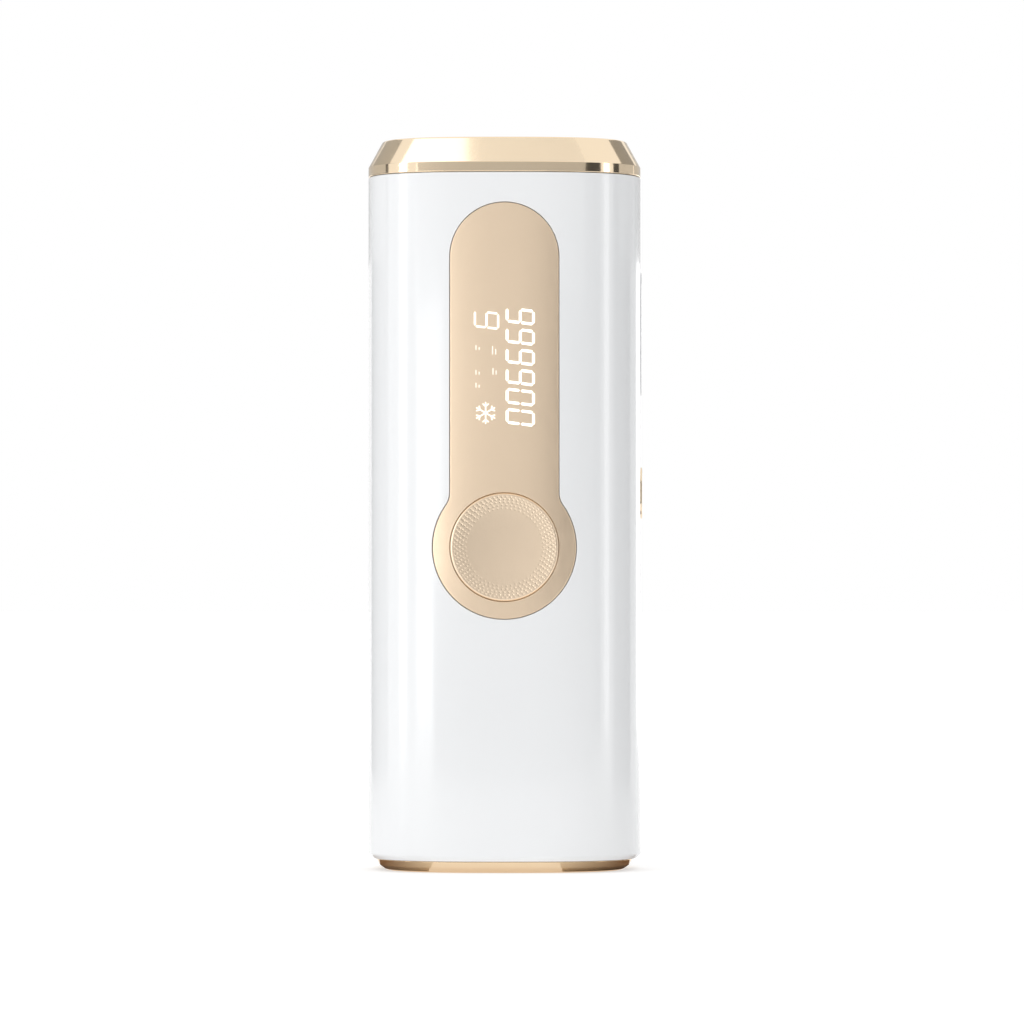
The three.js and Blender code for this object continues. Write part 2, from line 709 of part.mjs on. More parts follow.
function dcJack() {
  const { bore, pin, roof } = SOCKET;
  const body = block([-5, -5, 4.2], [5, 5, roof + 1.5]);
  return cut(body, rod(bore, [0, 0, 0], [0, 0, roof]), rod(pin + 0.1, [0, 0, 0], [0, 0, 20], 16));
}

function addElectronics() {
  const boardBack = MAIN_BOARD.front + MAIN_BOARD.thickness;
  addPart("main_board", "board", boardPlate(MAIN_BOARD, MAIN_BOSSES));
  MAIN_BOSSES.forEach((boss, i) =>
    addPart(`board_screw_${i + 1}`, "steel", boardScrew(boss, MAIN_BOARD.thickness)),
  );
  for (const [name, side] of SIDES)
    addPart(`storage_capacitor_${name}`, "capacitor", capacitorCan(side * 9.2, 5, 8.8, 31, 40));
  addPart("boost_transformer", "ferrite", transformer(-4.5, 83.5));
  const coilY = boardBack + 5.2;
  addPart("trigger_coil", "wire_black", rod(5, [12, coilY, 77], [12, coilY, 89.4], 20));
  addPart("dc_jack", "dark_plastic", dcJack());
  addPart("dc_jack_pin", "steel", rod(SOCKET.pin, [0, 0, SOCKET.tip], [0, 0, 17], 16));
  for (const [name, side] of SIDES) {
    const route = [
      [side * 25.85, 0, LAMP_Z],
      [side * 26.8, 0, LAMP_Z - 0.3],
      [side * 27, 1.2, 147],
      [side * 25.6, 5, 140],
      [side * 23.6, 8.6, 126],
      [side * 22.4, 8.6, 112],
      [side * 18.4, 7, 103],
      [side * 16.6, 1, 99],
      [side * 16.4, boardBack + 0.2, 97.8],
    ];
    const colour = side < 0 ? "wire_black" : "wire_red";
    addPart(`lamp_lead_${name}`, colour, wire(route, 0.65));
    const feed = [
      [side * 3, 0, SOCKET.roof + 1.65],
      [side * 4, 0.3, 19],
      [side * 7, -0.5, 24],
      [side * 9, boardBack + 1.6, 26],
      [side * 9, boardBack + 0.15, 26.2],
    ];
    addPart(`power_lead_${name}`, colour, wire(feed, 0.7));
  }
}

addHousing();
addFront();
addSideControls();
addHead();
addCooling();
addElectronics();

export default product;
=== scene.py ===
"""The looks of an upright pulsed-light hair remover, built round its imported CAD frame.

Shapes are worked out in millimetres, in the frame's own axes, and scaled to metres when a mesh is made.
"""

import json
import math

import bmesh
import bpy
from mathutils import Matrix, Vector


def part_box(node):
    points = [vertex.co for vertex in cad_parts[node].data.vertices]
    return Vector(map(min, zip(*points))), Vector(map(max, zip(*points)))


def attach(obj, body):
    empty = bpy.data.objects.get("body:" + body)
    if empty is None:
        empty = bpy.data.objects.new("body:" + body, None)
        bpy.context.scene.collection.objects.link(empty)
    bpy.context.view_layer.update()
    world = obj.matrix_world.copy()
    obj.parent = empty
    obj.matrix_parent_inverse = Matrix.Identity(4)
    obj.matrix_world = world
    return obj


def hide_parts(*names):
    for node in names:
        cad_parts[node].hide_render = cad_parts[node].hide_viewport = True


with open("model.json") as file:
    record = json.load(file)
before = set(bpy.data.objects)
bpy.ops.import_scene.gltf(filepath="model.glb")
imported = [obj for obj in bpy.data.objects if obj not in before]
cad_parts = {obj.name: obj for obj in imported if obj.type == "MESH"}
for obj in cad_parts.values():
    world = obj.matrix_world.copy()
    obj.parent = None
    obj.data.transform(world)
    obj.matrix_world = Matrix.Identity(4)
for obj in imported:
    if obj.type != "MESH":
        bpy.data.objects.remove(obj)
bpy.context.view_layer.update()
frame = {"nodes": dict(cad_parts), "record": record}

MM = 0.001


def box_mm(node):
    low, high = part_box(node)
    return low / MM, high / MM


# ---- Dimensions, from the frame wherever it holds them ----
FRONT_LOW, FRONT_HIGH = box_mm("front_shell")
PANEL_HIGH = box_mm("display_panel")[1]
BUTTON_LOW, BUTTON_HIGH = box_mm("power_button")

HALF_X = FRONT_HIGH.x
HALF_Y = -FRONT_LOW.y
OVAL_POWER = 2.8
OVAL_STEPS = 288
WALL = 2.2
BODY_BOTTOM, BODY_TOP = FRONT_LOW.z, FRONT_HIGH.z
SEAM_Y = FRONT_HIGH.y
SEAM_GAP = 0.1

DIAL_RADIUS = 16.1
DIAL_Z = (BUTTON_LOW.z + BUTTON_HIGH.z) / 2
PANEL_HALF_WIDTH = 12.2
PANEL_TOP = PANEL_HIGH.z + 0.05
PANEL_FILLET = 5
PANEL_THICKNESS = 1.2
BUTTON_RADIUS = 12.1
BUTTON_RIM_Y = BUTTON_LOW.y


# ---- The housing's oval ----
def oval_point(angle, inset):
    """A point of the oval pulled in by inset, in the direction of angle."""
    across = abs(math.cos(angle)) / (HALF_X - inset)
    along = abs(math.sin(angle)) / (HALF_Y - inset)
    radius = (across**OVAL_POWER + along**OVAL_POWER) ** (-1 / OVAL_POWER)
    return radius * math.cos(angle), radius * math.sin(angle)


def oval_normal(x, y):
    nx = math.copysign((abs(x) / HALF_X) ** (OVAL_POWER - 1) / HALF_X, x)
    ny = math.copysign((abs(y) / HALF_Y) ** (OVAL_POWER - 1) / HALF_Y, y)
    return Vector((nx, ny, 0)).normalized()


def reach(value, half_value, half_other, inset):
    """How far the oval reaches along its other axis where it crosses value."""
    share = (abs(value) / (half_value - inset)) ** OVAL_POWER
    return (half_other - inset) * max(0, 1 - share) ** (1 / OVAL_POWER)


def reach_y(x, inset=0):
    return reach(x, HALF_X, HALF_Y, inset)


def reach_x(y, inset=0):
    return reach(y, HALF_Y, HALF_X, inset)


# ---- Mesh making ----
def make_object(name, points, faces):
    mesh = bpy.data.meshes.new(name)
    mesh.from_pydata([tuple(c * MM for c in p) for p in points], [], faces)
    shape = bmesh.new()
    shape.from_mesh(mesh)
    bmesh.ops.recalc_face_normals(shape, faces=shape.faces)
    shape.to_mesh(mesh)
    shape.free()
    made = bpy.data.objects.new(name, mesh)
    bpy.context.scene.collection.objects.link(made)
    return made


def loops_solid(name, loops, ring=False):
    """A closed solid through loops of equally many points: capped at both ends, or joined in a ring."""
    count = len(loops[0])
    points = [p for loop in loops for p in loop]
    faces = []
    spans = len(loops) if ring else len(loops) - 1
    for i in range(spans):
        a, b = i * count, ((i + 1) % len(loops)) * count
        for j in range(count):
            k = (j + 1) % count
            faces.append((a + j, a + k, b + k, b + j))
    if not ring:
        faces.append(tuple(range(count)))
        last = (len(loops) - 1) * count
        faces.append(tuple(last + j for j in range(count)))
    return make_object(name, points, faces)


def oval_ring(name, profile, steps=OVAL_STEPS):
    """A closed profile of [inset, z] points carried all the way round the oval."""
    loops = []
    for i in range(steps):
        angle = 2 * math.pi * i / steps
        loops.append([(*oval_point(angle, inset), z) for inset, z in profile])
    return loops_solid(name, loops, ring=True)


def oval_sector(name, profile, seam_y, front, steps=200):
    """The part of an oval ring in front of seam_y, or behind it, with eased edges along both seams."""
    ease = 0.12
    side = -1 if front else 1
    loops = []
    for i in range(-1, steps + 2):
        loop = []
        for inset, z in profile:
            eased = inset + (ease if i in (-1, steps + 1) else 0)
            plane_y = seam_y + (0 if i in (-1, steps + 1) else side * ease)
            start = math.atan2(plane_y, reach_x(plane_y, eased))
            end = math.pi - start
            if front:
                start, end = start, -math.pi - start
            share = min(max(i, 0), steps) / steps
            x, y = oval_point(start + (end - start) * share, eased)
            loop.append((x, y, z))
        loops.append(loop)
    return loops_solid(name, loops)


def rounded(profile, radii, steps=4):
    """A closed [inset, z] profile with each corner rounded by its radius; 0 leaves a corner sharp."""
    made = []
    count = len(profile)
    for i, (corner, radius) in enumerate(zip(profile, radii)):
        if not radius:
            made.append(tuple(corner))
            continue
        here = Vector(corner)
        before = (Vector(profile[i - 1]) - here).normalized()
        after = (Vector(profile[(i + 1) % count]) - here).normalized()
        half = before.angle(after) / 2
        reach_back = radius / math.tan(half)
        centre = here + (before + after).normalized() * (radius / math.sin(half))
        first = (here + before * reach_back - centre).normalized()
        last = (here + after * reach_back - centre).normalized()
        for step in range(steps + 1):
            way = first.slerp(last, step / steps) * radius + centre
            made.append((way.x, way.y))
    return made


def cut(target, tool, operation="DIFFERENCE"):
    modifier = target.modifiers.new("cut", "BOOLEAN")
    modifier.object = tool
    modifier.operation = operation
    modifier.solver = "EXACT"
    bpy.context.view_layer.update()
    evaluated = target.evaluated_get(bpy.context.evaluated_depsgraph_get())
    mesh = bpy.data.meshes.new_from_object(evaluated)
    target.modifiers.clear()
    old = target.data
    target.data = mesh
    mesh.name = target.name
    bpy.data.meshes.remove(old)
    bpy.data.objects.remove(tool)
    return target


def smooth(target, angle=34, on_oval=None):
    """Smooth shading with sharp creases. Points on the oval of inset on_oval take its own normal."""
    mesh = target.data
    shape = bmesh.new()
    shape.from_mesh(mesh)
    bmesh.ops.remove_doubles(shape, verts=shape.verts, dist=2e-7)
    bmesh.ops.dissolve_degenerate(shape, edges=shape.edges, dist=2e-7)
    shape.to_mesh(mesh)
    shape.free()
    mesh.shade_smooth()
    mesh.set_sharp_from_angle(angle=math.radians(angle))
    if on_oval is None:
        weighted = target.modifiers.new("weighted", "WEIGHTED_NORMAL")
        weighted.keep_sharp = True
        weighted.weight = 60
        return target
    normals = [Vector(n.vector) for n in mesh.corner_normals]
    for polygon in mesh.polygons:
        for corner in polygon.loop_indices:
            x, y, _ = mesh.vertices[mesh.loops[corner].vertex_index].co / MM
            gap = abs(reach_y(x, on_oval) - abs(y)) if abs(x) < HALF_X / 2 else abs(
                reach_x(y, on_oval) - abs(x)
            )
            surface = oval_normal(x, y)
            if gap < 0.004 and surface.dot(polygon.normal) > 0.7:
                normals[corner] = surface
    mesh.normals_split_custom_set(normals)
    return target


# ---- Outlines: each takes a margin and gives points all round ----
def arc(cx, cy, radius, start, end, steps):
    """Points from start to end, in radians, both ends included."""
    turn = (end - start) / steps
    return [
        (cx + radius * math.cos(start + turn * i), cy + radius * math.sin(start + turn * i))
        for i in range(steps + 1)
    ]


def keyhole(margin):
    half = PANEL_HALF_WIDTH + margin
    dial = DIAL_RADIUS + margin
    fillet = PANEL_FILLET - margin
    top = PANEL_TOP - PANEL_HALF_WIDTH
    fillet_x = half + fillet
    fillet_z = DIAL_Z + math.sqrt((dial + fillet) ** 2 - fillet_x**2)
    lean = math.atan2(fillet_z - DIAL_Z, fillet_x)
    return [
        *arc(0, top, half, 0, math.pi, 72),
        *arc(-fillet_x, fillet_z, fillet, 0, -lean, 10),
        *arc(0, DIAL_Z, dial, math.pi - lean, 2 * math.pi + lean, 120)[1:],
        *arc(fillet_x, fillet_z, fillet, math.pi + lean, math.pi, 10)[1:],
    ]


def circle_outline(cx, cy, radius, steps=144):
    return lambda margin: arc(cx, cy, radius + margin, 0, 2 * math.pi, steps)[:-1]


def slot_outline(centre, half_width, half_length, steps=24):
    """A round-ended slot, longest along its second axis."""
    cx, cy = centre
    run = half_length - half_width

    def outline(margin):
        radius = half_width + margin
        upper = arc(cx, cy + run, radius, 0, math.pi, steps)
        lower = arc(cx, cy - run, radius, math.pi, 2 * math.pi, steps)
        return upper + lower

    return outline


# ---- Where an outline sits: on the housing's front, back or right side ----
def on_front(u, v, depth):
    return u, -reach_y(u) + depth, v


def on_back(u, v, depth):
    return u, reach_y(u) - depth, v


def on_side(u, v, depth):
    return reach_x(u) - depth, u, v


def sunk_tool(outline, place, steps):
    """A cutter whose wall follows the housing's surface: steps are [margin, depth below the surface]."""
    loops = [[place(u, v, depth) for u, v in outline(margin)] for margin, depth in steps]
    return loops_solid("tool", loops)


OUTSIDE = -6


def hole_steps(gap, depth, ease=0.22):
    """A hole through the surface with a rounded rim."""
    return [
        (gap + ease, OUTSIDE),
        (gap + ease, -0.004),
        (gap + 0.42 * ease, 0.1 * ease),
        (gap + 0.12 * ease, 0.42 * ease),
        (gap, ease),
        (gap, depth),
    ]


def plug_steps(gap, depth, proud=0, ease=0.22):
    """A solid that stands in such a hole, with a rounded rim of its own."""
    return [
        (gap - ease, OUTSIDE),
        (gap - ease, -proud - 0.004),
        (gap - 0.42 * ease, 0.1 * ease - proud),
        (gap - 0.12 * ease, 0.42 * ease - proud),
        (gap, ease - proud),
        (gap, depth),
    ]


# ---- Materials ----
class Nodes:
    """A material's node tree, with its Principled shader."""

    def __init__(self, name):
        self.material = bpy.data.materials.new(name)
        self.material.use_nodes = True
        self.tree = self.material.node_tree
        self.shader = self.tree.nodes["Principled BSDF"]

    def set(self, **values):
        for socket, value in values.items():
            self.shader.inputs[socket.replace("_", " ")].default_value = value
        return self

    def add(self, kind, inputs=None, **settings):
        node = self.tree.nodes.new(kind)
        for key, value in settings.items():
            setattr(node, key, value)
        for key, value in (inputs or {}).items():
            if isinstance(value, bpy.types.NodeSocket):
                self.tree.links.new(value, node.inputs[key])
            else:
                node.inputs[key].default_value = value
        return node

    def link(self, socket, name):
        self.tree.links.new(socket, self.shader.inputs[name])

    def noise(self, scale, stretch=(1, 1, 1), detail=3):
        """Noise in the object's own metres; stretch runs it finer or coarser along an axis."""
        place = self.add("ShaderNodeTexCoord").outputs["Object"]
        spread = self.add("ShaderNodeMapping", {"Vector": place, "Scale": stretch})
        settings = {"Vector": spread.outputs["Vector"], "Scale": scale, "Detail": detail}
        return self.add("ShaderNodeTexNoise", settings).outputs["Fac"]

    def ramp(self, factor, low, high, start=0.3, end=0.7):
        scaled = self.add("ShaderNodeMapRange", {"Value": factor})
        for key, value in zip(("From Min", "From Max", "To Min", "To Max"), (start, end, low, high)):
            scaled.inputs[key].default_value = value
        return scaled.outputs["Result"]

    def tint(self, factor, colour, spread):
        """The base colour, a little darker and lighter from place to place."""
        mix = self.add("ShaderNodeMix", {"Factor": factor}, data_type="RGBA")
        mix.inputs["A"].default_value = (*[c * (1 - spread) for c in colour[:3]], 1)
        mix.inputs["B"].default_value = (*[min(1, c * (1 + spread)) for c in colour[:3]], 1)
        self.link(mix.outputs["Result"], "Base Color")

    def bump(self, height, strength, distance):
        settings = {"Height": height, "Strength": strength, "Distance": distance}
        self.link(self.add("ShaderNodeBump", settings).outputs["Normal"], "Normal")


def gloss_plastic(name, colour, roughness=0.16):
    """Moulded gloss plastic with the faint waviness of a polished tool."""
    made = Nodes(name).set(IOR=1.52, Coat_Weight=0.6, Coat_Roughness=0.06)
    broad = made.noise(35)
    made.tint(broad, colour, 0.008)
    made.link(made.ramp(broad, roughness - 0.03, roughness + 0.03), "Roughness")
    made.bump(made.noise(420, detail=2), 0.05, 0.00005)
    return made.material


def matte_plastic(name, colour, roughness=0.55):
    """Moulded plastic with a fine spark-eroded grain."""
    made = Nodes(name).set(IOR=1.48)
    made.tint(made.noise(90), colour, 0.04)
    grain = made.noise(3200)
    made.link(made.ramp(grain, roughness - 0.07, roughness + 0.07), "Roughness")
    made.bump(grain, 0.25, 0.00006)
    return made.material


def metal(name, colour, roughness=0.2, stretch=(1, 1, 1), grain=1800, depth=0.08):
    """Metal with fine grain, drawn out into brush lines where stretch isn't even."""
    made = Nodes(name).set(Metallic=1.0)
    made.tint(made.noise(60), colour, 0.02)
    lines = made.noise(grain, stretch)
    made.link(made.ramp(lines, roughness * 0.85, roughness * 1.15), "Roughness")
    made.bump(lines, depth, 0.00002)
    return made.material


def ceramic(name, colour):
    made = Nodes(name).set(IOR=1.6)
    grain = made.noise(2400)
    made.tint(grain, colour, 0.03)
    made.link(made.ramp(grain, 0.38, 0.55), "Roughness")
    made.bump(grain, 0.2, 0.00005)
    return made.material


def rubber(name, colour):
    made = Nodes(name).set(IOR=1.45)
    grain = made.noise(1500)
    made.tint(grain, colour, 0.05)
    made.link(made.ramp(grain, 0.6, 0.75), "Roughness")
    made.bump(grain, 0.2, 0.00005)
    return made.material


def glass(name, colour, roughness=0.02):
    made = Nodes(name).set(IOR=1.5, Transmission_Weight=1.0)
    made.tint(made.noise(80), colour, 0.01)
    made.link(made.ramp(made.noise(500), roughness, roughness + 0.02), "Roughness")
    return made.material


def lit_symbol(name, colour, strength):
    """A light-guide window with the faint unevenness of light that comes from behind."""
    made = Nodes(name).set(Roughness=0.4, Emission_Strength=strength)
    uneven = made.noise(900)
    made.tint(uneven, colour, 0.02)
    mix = made.add("ShaderNodeMix", {"Factor": uneven}, data_type="RGBA")
    mix.inputs["A"].default_value = (*[c * 0.96 for c in colour], 1)
    mix.inputs["B"].default_value = (*colour, 1)
    made.link(mix.outputs["Result"], "Emission Color")
    return made.material


BY_CLASS = {
    "gloss_plastic": gloss_plastic,
    "matte_plastic": matte_plastic,
    "ceramic": ceramic,
    "rubber": rubber,
    "glass": glass,
    "chrome": lambda name, colour: metal(name, colour, 0.09, depth=0.03),
    "mirror": lambda name, colour: metal(name, colour, 0.04, depth=0.02),
    "brass": lambda name, colour: metal(name, colour, 0.32),
    "aluminium": lambda name, colour: metal(name, colour, 0.33, (1, 1, 12)),
    "brushed_steel": lambda name, colour: metal(name, colour, 0.28, (12, 12, 1)),
}
# Finishes that need more than their class gives.
BY_SLOT = {
    "panel_gold": lambda name, colour: metal(name, colour, 0.36, (1, 1, 0.05), 5200, 0.06),
    "button_gold": lambda name, colour: metal(name, colour, 0.34, grain=5200, depth=0.08),
}


def make_finishes():
    finishes = {}
    for entry in frame["record"]["materials"]:
        slot, colour = entry["slot"], entry["base_color"][:3]
        maker = BY_SLOT.get(slot) or BY_CLASS[entry["class"]]
        finishes[slot] = maker(slot, colour)
    return finishes


FINISHES = make_finishes()
NODE_SLOT = {entry["node"]: entry["material_slot"] for entry in frame["record"]["subparts"]}
BODIES = frame["record"]["behaviour"]["bodies"]
NODE_BODY = {node: body for body, nodes in BODIES.items() for node in nodes}


def dress_cad_nodes():
    for name, node in frame["nodes"].items():
        node.data.materials.clear()
        node.data.materials.append(FINISHES[NODE_SLOT[name]])


def stands_for(piece, node):
    """Puts a finished piece in a CAD node's place, with its body and finish."""
    piece.data.materials.clear()
    piece.data.materials.append(FINISHES[NODE_SLOT[node]])
    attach(piece, NODE_BODY[node])
    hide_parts(node)
    return piece


# ---- Camera and stage ----
CAMERA_DISTANCE = 1000
CAMERA_X = 1.7
CAMERA_Z = 67.9
CAMERA_PITCH = math.radians(0.757)
CAMERA_LENS = 154.2


def make_camera():
    data = bpy.data.cameras.new("camera")
    data.lens = CAMERA_LENS
    data.clip_start = 0.01
    camera = bpy.data.objects.new("camera", data)
    camera.location = (CAMERA_X * MM, -CAMERA_DISTANCE * MM, CAMERA_Z * MM)
    camera.rotation_euler = (math.pi / 2 + CAMERA_PITCH, 0, 0)
    bpy.context.scene.collection.objects.link(camera)
    bpy.context.scene.camera = camera


def around(azimuth, elevation, distance):
    """A place seen from the object: azimuth 0 is in front (-Y), 90 is to the right (+X)."""
    a, e = math.radians(azimuth), math.radians(elevation)
    flat = distance * math.cos(e)
    return Vector((flat * math.sin(a), -flat * math.cos(a), distance * math.sin(e)))


MIDDLE = Vector((0, 0, 0.09))


def softbox(name, azimuth, elevation, distance, width, height, radiance):
    data = bpy.data.lights.new(name, "AREA")
    data.shape = "RECTANGLE"
    data.size, data.size_y = width, height
    data.energy = radiance * width * height * math.pi
    lamp = bpy.data.objects.new(name, data)
    lamp.location = MIDDLE + around(azimuth, elevation, distance)
    lamp.rotation_euler = (MIDDLE - lamp.location).to_track_quat("-Z", "Y").to_euler()
    lamp.visible_camera = False
    bpy.context.scene.collection.objects.link(lamp)


def card(name, x0, x1, y0, y1, z):
    """A flat sheet that the camera does not see, but the object's surfaces do."""
    made = make_object(name, [(x0, y0, z), (x1, y0, z), (x1, y1, z), (x0, y1, z)], [(0, 1, 2, 3)])
    made.visible_camera = False
    return made


def grey_card(name, azimuth, elevation, distance, width, height, shade):
    """A card that holds light back from one side, as a photographer's flag does."""
    half_w, half_h = width / 2 / MM, height / 2 / MM
    made = card(name, -half_w, half_w, -half_h, half_h, 0)
    made.location = MIDDLE + around(azimuth, elevation, distance)
    made.rotation_euler = (MIDDLE - made.location).to_track_quat("-Z", "Y").to_euler()
    grey = Nodes(name).set(Roughness=1.0, Specular_IOR_Level=0.0)
    grey.tint(grey.noise(20), (shade,) * 3, 0.02)
    made.data.materials.append(grey.material)


# Strips that paint a darker, browner reflection onto the ends of the gold foot ring.
FOOT_CARD_REACH = 60
FOOT_CARD_FRONT = -45
FOOT_CARD_HEIGHT = 0.25
FOOT_CARD_DARKEST_REFLECTION_AT = 30


def foot_reflection_card(name, side, clear):
    """A strip just above the floor that only mirror-like surfaces see. It paints a darker, browner
    reflection onto the gold foot ring's ends, browner away from the middle.
    """
    x0, x1 = sorted((side * clear, side * FOOT_CARD_REACH))
    made = card(name, x0, x1, FOOT_CARD_FRONT, 0, FOOT_CARD_HEIGHT)
    made.visible_diffuse = False
    made.visible_shadow = False
    painted_reflection = Nodes(name).set(Roughness=1.0, Specular_IOR_Level=0.0)
    place = painted_reflection.add("ShaderNodeTexCoord").outputs["Object"]
    across = painted_reflection.add("ShaderNodeSeparateXYZ", {"Vector": place}).outputs["X"]
    nearness = painted_reflection.ramp(across, 0, 1, side * FOOT_CARD_DARKEST_REFLECTION_AT * MM, side * clear * MM)
    # Painted reflection: dark brown away from the middle, near white by it, so the foot ring's ends
    # mirror darker gold.
    mix = painted_reflection.add("ShaderNodeMix", {"Factor": nearness}, data_type="RGBA")
    mix.inputs["A"].default_value = (0.3, 0.19, 0.12, 1)
    mix.inputs["B"].default_value = (0.95, 0.93, 0.88, 1)
    painted_reflection.link(mix.outputs["Result"], "Base Color")
    made.data.materials.append(painted_reflection.material)


FLOOR_HALF = 6


def make_stage():
    scene = bpy.context.scene
    scene.view_settings.view_transform = "Standard"
    world = bpy.data.worlds.new("studio")
    scene.world = world
    world.use_nodes = True
    world.node_tree.nodes["Background"].inputs["Color"].default_value = (1, 1, 1, 1)
    world.node_tree.nodes["Background"].inputs["Strength"].default_value = 1.0

    size = FLOOR_HALF / MM
    corners = [(-size, -size, 0), (size, -size, 0), (size, size, 0), (-size, size, 0)]
    floor = make_object("floor", corners, [(0, 1, 2, 3)])
    made = Nodes("floor").set(Roughness=0.9, Emission_Strength=0.5)
    made.tint(made.noise(4), (0.62, 0.62, 0.62), 0.01)
    made.set(Emission_Color=(1, 1, 1, 1))
    floor.data.materials.append(made.material)

    softbox("left_strip", -57, 4, 0.9, 0.16, 1.0, 3.0)
    softbox("front_left", -30, 0, 0.95, 0.34, 0.6, 1.8)
    softbox("right_strip", 58, 3, 0.9, 0.12, 0.7, 1.8)
    softbox("rim_right", 148, 0, 0.9, 0.4, 0.6, 1.2)
    softbox("top_left", -46, 57, 0.9, 0.62, 0.32, 0.85)
    grey_card("front_right_flag", 30, 4, 0.7, 0.5, 0.5, 0.08)
    grey_card("right_flag", 89, 0, 0.4, 0.3, 0.5, 0.08)
    grey_card("left_flag", -112, 0, 0.45, 0.5, 0.5, 0.2)
    grey_card("high_left_flag", -117, 36, 0.6, 0.64, 0.3, 0.5)
    grey_card("high_right_flag", 117, 36, 0.6, 0.48, 0.25, 0.35)
    grey_card("top_flag", 22, 61, 0.8, 0.36, 0.3, 0.85)
    grey_card("collar_flag", 2, 17, 0.6, 1.05, 0.2, 0.6)
    grey_card("low_front_flag", 8, -8, 0.45, 0.6, 0.09, 0.3)
    for azimuth in (-150, -110, 100, 145):
        grey_card(f"collar_flag_{azimuth % 360}", azimuth, 20, 0.38, 0.28, 0.12, 0.62)
    # Painted reflections for the ends of the gold foot ring.
    foot_reflection_card("foot_flag_left", -1, 17)
    foot_reflection_card("foot_flag_right", 1, 13)


# ---- Housing ----
BEVEL = 0.9


def build_housing():
    corners = [
        (BEVEL, BODY_BOTTOM),
        (0, BODY_BOTTOM + BEVEL),
        (0, BODY_TOP),
        (WALL, BODY_TOP),
        (WALL, BODY_BOTTOM),
    ]
    profile = rounded(corners, [0.3, 0.8, 0.3, 0, 0])
    front = oval_sector("front_housing", profile, SEAM_Y, front=True)
    ledge = [(-1.5, PANEL_THICKNESS + 0.1), (-1.5, 8)]
    cut(front, sunk_tool(keyhole, on_front, hole_steps(0.1, PANEL_THICKNESS + 0.1) + ledge))
    for node in ("trigger_button", "mode_button"):
        cut(front, sunk_tool(side_outline(node), on_side, hole_steps(SIDE_HOLE_GAP[node], 6)))
    stands_for(smooth(front, on_oval=0), "front_shell")

    rear = oval_sector("rear_housing", profile, SEAM_Y + SEAM_GAP, front=False)
    for slot in vent_outlines():
        cut(rear, sunk_tool(slot, on_back, hole_steps(0, 6, ease=0.18)))
    stands_for(smooth(rear, on_oval=0), "rear_shell")


VENT_COUNT = 9
VENT_PITCH = 3.1
VENT_HALF_HEIGHT = 0.75
VENT_FIELD = 14.6
VENT_MARGIN = 0.6


def vent_outlines():
    low, high = box_mm("fan_frame")
    middle = (low.z + high.z) / 2
    outlines = []
    for i in range(VENT_COUNT):
        rise = (i - (VENT_COUNT - 1) / 2) * VENT_PITCH
        half = math.sqrt(VENT_FIELD**2 - rise**2) - VENT_MARGIN
        upright = slot_outline((middle + rise, 0), VENT_HALF_HEIGHT, half, steps=12)
        outlines.append(lambda margin, upright=upright: [(v, u) for u, v in upright(margin)])
    return outlines


# The gold rings above and below the housing, each with a spigot that sits inside it.
COLLAR_TOP = 159.3
BEZEL_INSET = 3.2
HEAD_OPENING_INSET = 6.4
HEAD_SHELF = 161.0
SPIGOT_OUTER = 2.4
SPIGOT_INNER = 3.6
FOOT_SHOULDER = (1.8, BODY_BOTTOM - 0.1)
FOOT_CORNER = (2.5, 1.1)
FOOT_FLAT = (4.1, 6.1)
FOOT_ROOF = 2.2


def build_bezel_and_foot():
    low, high = box_mm("head_bezel")
    collar = BODY_TOP + 0.1
    corners = [
        (0, collar),
        (0, COLLAR_TOP),
        (BEZEL_INSET, high.z),
        (HEAD_OPENING_INSET, high.z),
        (HEAD_OPENING_INSET, HEAD_SHELF),
        (SPIGOT_INNER, HEAD_SHELF),
        (SPIGOT_INNER, low.z),
        (SPIGOT_OUTER, low.z),
        (SPIGOT_OUTER, collar),
    ]
    profile = rounded(corners, [0.2, 0.35, 0.7, 0.4, 0, 0, 0, 0, 0])
    stands_for(smooth(oval_ring("head_bezel_ring", profile)), "head_bezel")

    low, high = box_mm("base_ring")
    flat_outer, flat_inner = FOOT_FLAT
    corners = [
        FOOT_SHOULDER,
        FOOT_CORNER,
        (flat_outer, low.z),
        (flat_inner, low.z),
        (flat_inner, FOOT_ROOF),
        (SPIGOT_INNER, FOOT_ROOF),
        (SPIGOT_INNER, high.z),
        (SPIGOT_OUTER, high.z),
        (SPIGOT_OUTER, FOOT_SHOULDER[1]),
    ]
    profile = rounded(corners, [0.15, 0.3, 0.3, 0.4, 0, 0, 0, 0, 0])
    stands_for(smooth(oval_ring("foot_ring", profile)), "base_ring")


# ---- Front panel, button and lit display ----
def build_panel():
    slab = oval_sector(
        "keyhole_panel",
        [(0, 52), (0, 155), (PANEL_THICKNESS, 155), (PANEL_THICKNESS, 52)],
        -12,
        front=True,
        steps=120,
    )
    cut(slab, sunk_tool(keyhole, on_front, plug_steps(-0.05, 6)), "INTERSECT")
    hole = circle_outline(0, DIAL_Z, BUTTON_RADIUS)
    cut(slab, sunk_tool(hole, on_front, hole_steps(0.15, 6, ease=0.16)))
    stands_for(smooth(slab, on_oval=0), "display_panel")


DISH = 0.55
RIM = 0.5
DIMPLE_ROWS = ((8.7, 54, 0.55), (9.4, 60, 0.7), (10.1, 64, 0.85), (10.75, 70, 1.0), (11.3, 74, 0.9))
DIMPLE_WIDTH = 0.17
DIMPLE_DEPTH = 0.09


